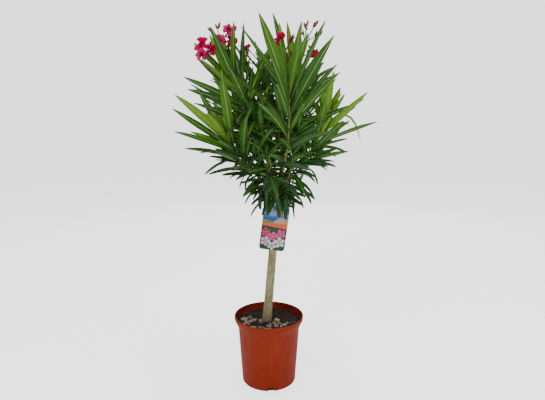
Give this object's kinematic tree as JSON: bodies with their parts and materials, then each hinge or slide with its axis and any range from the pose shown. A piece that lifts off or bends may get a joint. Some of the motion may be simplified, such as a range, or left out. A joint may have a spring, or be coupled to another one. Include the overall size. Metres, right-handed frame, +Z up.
{
  "type": "potted oleander",
  "caption": "Oleander grown as a small standard in a plastic nursery pot: one clean trunk, a head of long narrow leaves with pink flowers and buds, and a hang label on the trunk.",
  "frame": {"origin": "middle of the pot's flat underside", "axes": "+Z up the trunk, -Y towards the front, the side that the label faces, +X to the right seen from the front"},
  "size_m": [0.5265, 0.3884, 0.9906],
  "materials": {
    "pot_plastic": "terracotta-brown moulded polypropylene with a soft sheen",
    "potting_mix": "moist dark peat-based mix with bark fibres and pale chips",
    "bark": "smooth grey-green bark with small pale lenticels, browner at the foot",
    "green_bark": "smooth young olive-green bark",
    "foliage": "leathery satin green leaves with a pale midrib, crimson-pink flowers and dark red buds",
    "printed_label": "printed plastic card"
  },
  "bodies": {
    "root": {"bough_back": "green_bark", "bough_back_left": "green_bark", "bough_back_right": "green_bark", "bough_budded": "green_bark", "bough_left": "green_bark", "bough_low_back": "green_bark", "bough_low_back_left": "green_bark", "bough_low_back_right": "green_bark", "bough_low_front_left": "green_bark", "bough_low_front_right": "green_bark", "bough_right": "green_bark", "bough_tall_front": "green_bark", "bough_tall_left": "green_bark", "foliage_back": "foliage", "foliage_back_left": "foliage", "foliage_back_right": "foliage", "foliage_budded": "foliage", "foliage_left": "foliage", "foliage_low_back": "foliage", "foliage_low_back_left": "foliage", "foliage_low_back_right": "foliage", "foliage_low_front_left": "foliage", "foliage_low_front_right": "foliage", "foliage_right": "foliage", "foliage_skirt_1": "foliage", "foliage_skirt_2": "foliage", "foliage_skirt_3": "foliage", "foliage_skirt_4": "foliage", "foliage_skirt_5": "foliage", "foliage_skirt_6": "foliage", "foliage_skirt_7": "foliage", "foliage_skirt_8": "foliage", "foliage_tall_front": "foliage", "foliage_tall_left": "foliage", "label": "printed_label", "pot": "pot_plastic", "potting_mix": "potting_mix", "trunk": "bark"}
  },
  "joints": []
}
